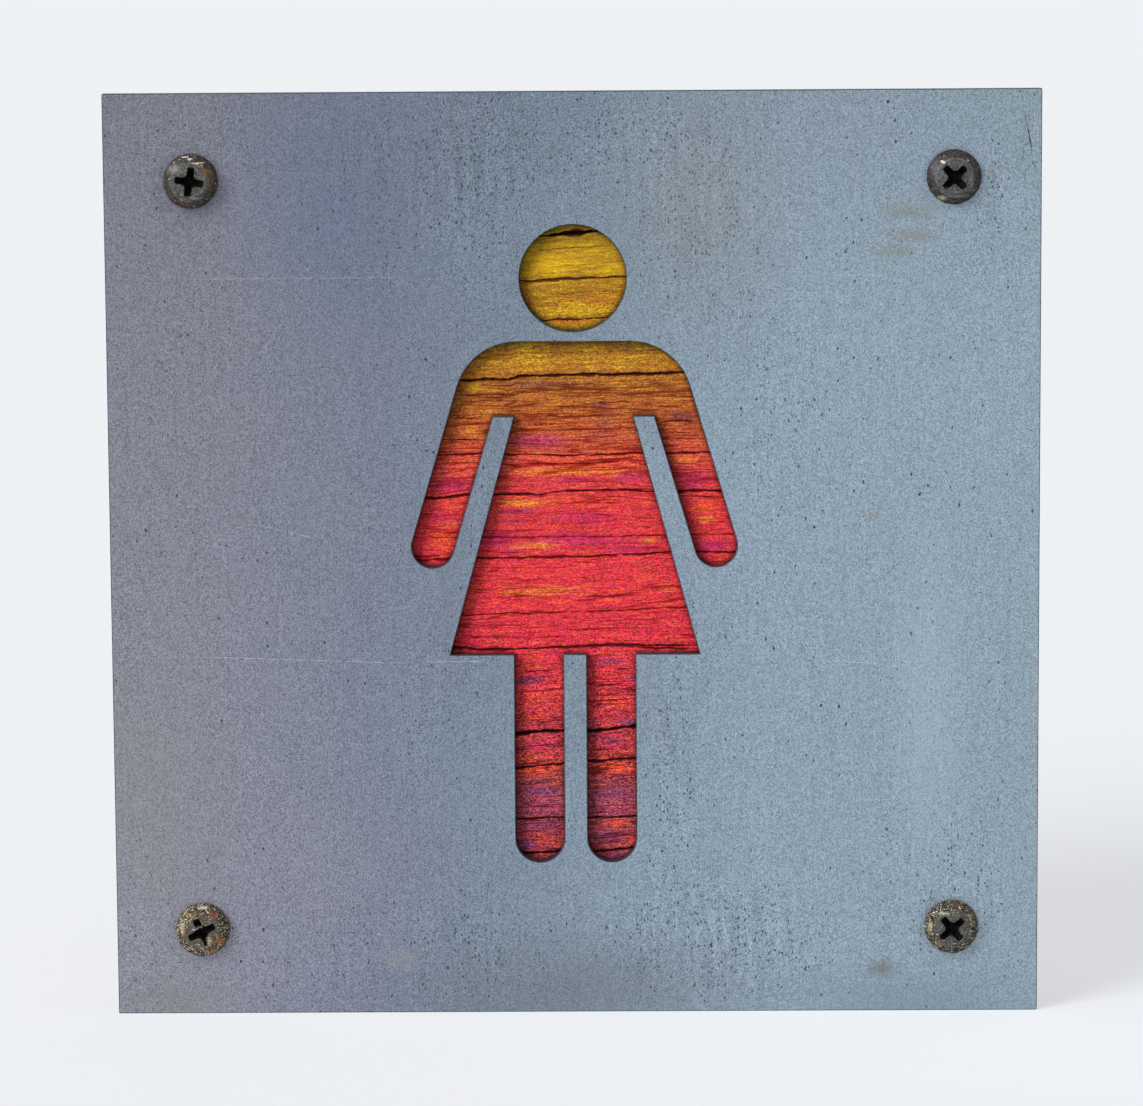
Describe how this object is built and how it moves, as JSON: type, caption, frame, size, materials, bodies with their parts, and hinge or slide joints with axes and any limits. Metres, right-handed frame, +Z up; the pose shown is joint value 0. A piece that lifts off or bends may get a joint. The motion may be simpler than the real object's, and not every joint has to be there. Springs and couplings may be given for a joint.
{
  "type": "restroom sign",
  "caption": "Square steel restroom sign with a standing figure in a skirt cut through the plate, backed by a weathered stained board and held to a wall by pan-head wood screws.",
  "frame": {"origin": "centre of the board's back face, where it lies on the wall", "axes": "+Y into the wall, so the sign's front faces -Y; +Z up; +X to the right of a person who faces the sign"},
  "size_m": [0.15, 0.0429, 0.15],
  "materials": {
    "plate_steel": "satin blue-grey mill finish with fine upright brushing and small dark pits",
    "stained_board": "weathered softwood with drying checks, stained from ochre at the top through crimson to plum at the feet",
    "screw_steel": "dark oxidised steel with spots of rust"
  },
  "bodies": {
    "root": {"face_plate": "plate_steel", "backing_board": "stained_board", "screw_top_left": "screw_steel", "screw_top_right": "screw_steel", "screw_bottom_left": "screw_steel", "screw_bottom_right": "screw_steel"}
  },
  "joints": []
}
